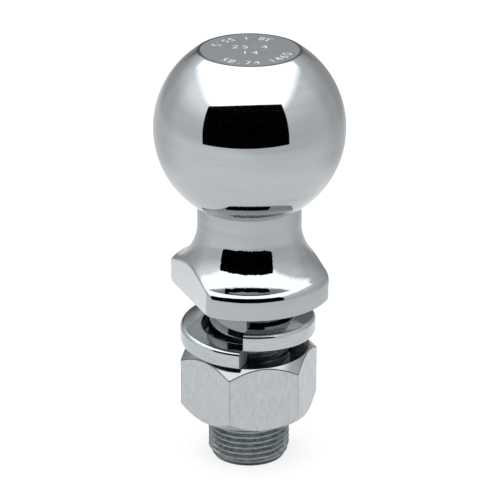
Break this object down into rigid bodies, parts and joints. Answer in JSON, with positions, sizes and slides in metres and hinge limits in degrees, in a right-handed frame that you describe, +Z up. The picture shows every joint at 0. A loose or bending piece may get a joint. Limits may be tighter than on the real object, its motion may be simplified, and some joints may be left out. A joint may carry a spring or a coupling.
{
  "type": "threaded tow ball",
  "caption": "Chrome tow ball on a flanged, threaded shank, with a split lock washer and a hex nut that turns along the thread.",
  "frame": {"origin": "centre of the seat, the flange's underside, on the ball's axis", "axes": "+Z up the ball's axis from the seat to the ball; -Y is the front, where the washer's split is; the flange's two spanner flats face 67 degrees to the left of the front and the opposite way"},
  "size_m": [0.0588, 0.0588, 0.1336],
  "materials": {
    "ball_chrome": "mirror-bright chrome plate, satin on the top flat and bare grey on the thread",
    "washer_chrome": "bright plate over a drawn bar, with fine marks along it",
    "nut_steel": "satin plate with fine upright forging marks"
  },
  "bodies": {
    "tow_ball": {"tow_ball": "ball_chrome"},
    "lock_washer": {"lock_washer": "washer_chrome"},
    "hex_nut": {"hex_nut": "nut_steel"}
  },
  "joints": [
    {"name": "nut_travel", "type": "slide", "parent": "tow_ball", "child": "lock_washer", "axis": [0, 0, 1], "range_m": [-0.0381, 0.0063]},
    {"name": "nut_turn", "type": "hinge", "parent": "lock_washer", "child": "hex_nut", "pos_m": [0, 0, -0.0187], "axis": [0, 0, 1], "range_deg": [-7561, 1251]}
  ],
  "couplings": [
    {"joint": "nut_turn", "follows": "nut_travel", "rad_per_m": 3463.2}
  ]
}
